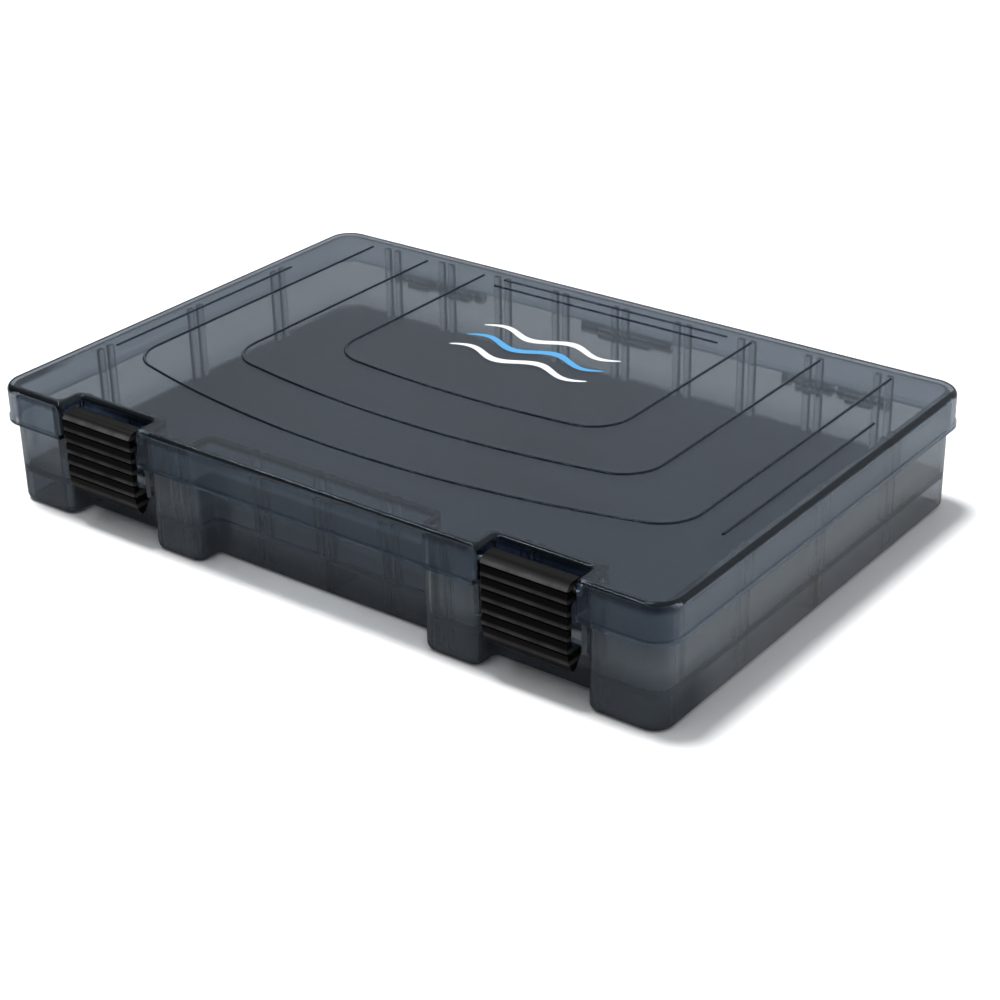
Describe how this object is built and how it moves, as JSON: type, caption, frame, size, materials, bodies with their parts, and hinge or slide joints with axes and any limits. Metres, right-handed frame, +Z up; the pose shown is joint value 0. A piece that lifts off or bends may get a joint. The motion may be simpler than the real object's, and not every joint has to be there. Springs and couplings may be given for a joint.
{
  "type": "tackle box",
  "caption": "Shallow see-through plastic tackle box with a hinged lid, two front latches and divider slots inside.",
  "frame": {"origin": "middle of the tray's underside", "axes": "+X to the right along the long front, seen from the front; +Y from the latches to the hinges; +Z up"},
  "size_m": [0.279, 0.1922, 0.0453],
  "materials": {
    "tray": "translucent smoke grey, glossy",
    "lid": "translucent smoke grey, glossy",
    "latch": "black, satin",
    "steel": "drawn wire"
  },
  "bodies": {
    "tray": {"base_tray": "tray", "hinge_pin_left": "steel", "hinge_pin_middle": "steel", "hinge_pin_right": "steel"},
    "lid": {"lid": "lid", "latch_pin_left": "steel", "latch_pin_right": "steel"},
    "latch_left": {"latch_left": "latch"},
    "latch_right": {"latch_right": "latch"}
  },
  "joints": [
    {"name": "lid_hinge", "type": "hinge", "parent": "tray", "child": "lid", "pos_m": [0, 0.0947, 0.0284], "axis": [-1, 0, 0], "range_deg": [0, 180]},
    {"name": "latch_left_hinge", "type": "hinge", "parent": "lid", "child": "latch_left", "pos_m": [-0.0892, -0.09105, 0.0394], "axis": [-1, 0, 0], "range_deg": [0, 100]},
    {"name": "latch_right_hinge", "type": "hinge", "parent": "lid", "child": "latch_right", "pos_m": [0.0892, -0.09105, 0.0394], "axis": [-1, 0, 0], "range_deg": [0, 100]}
  ]
}
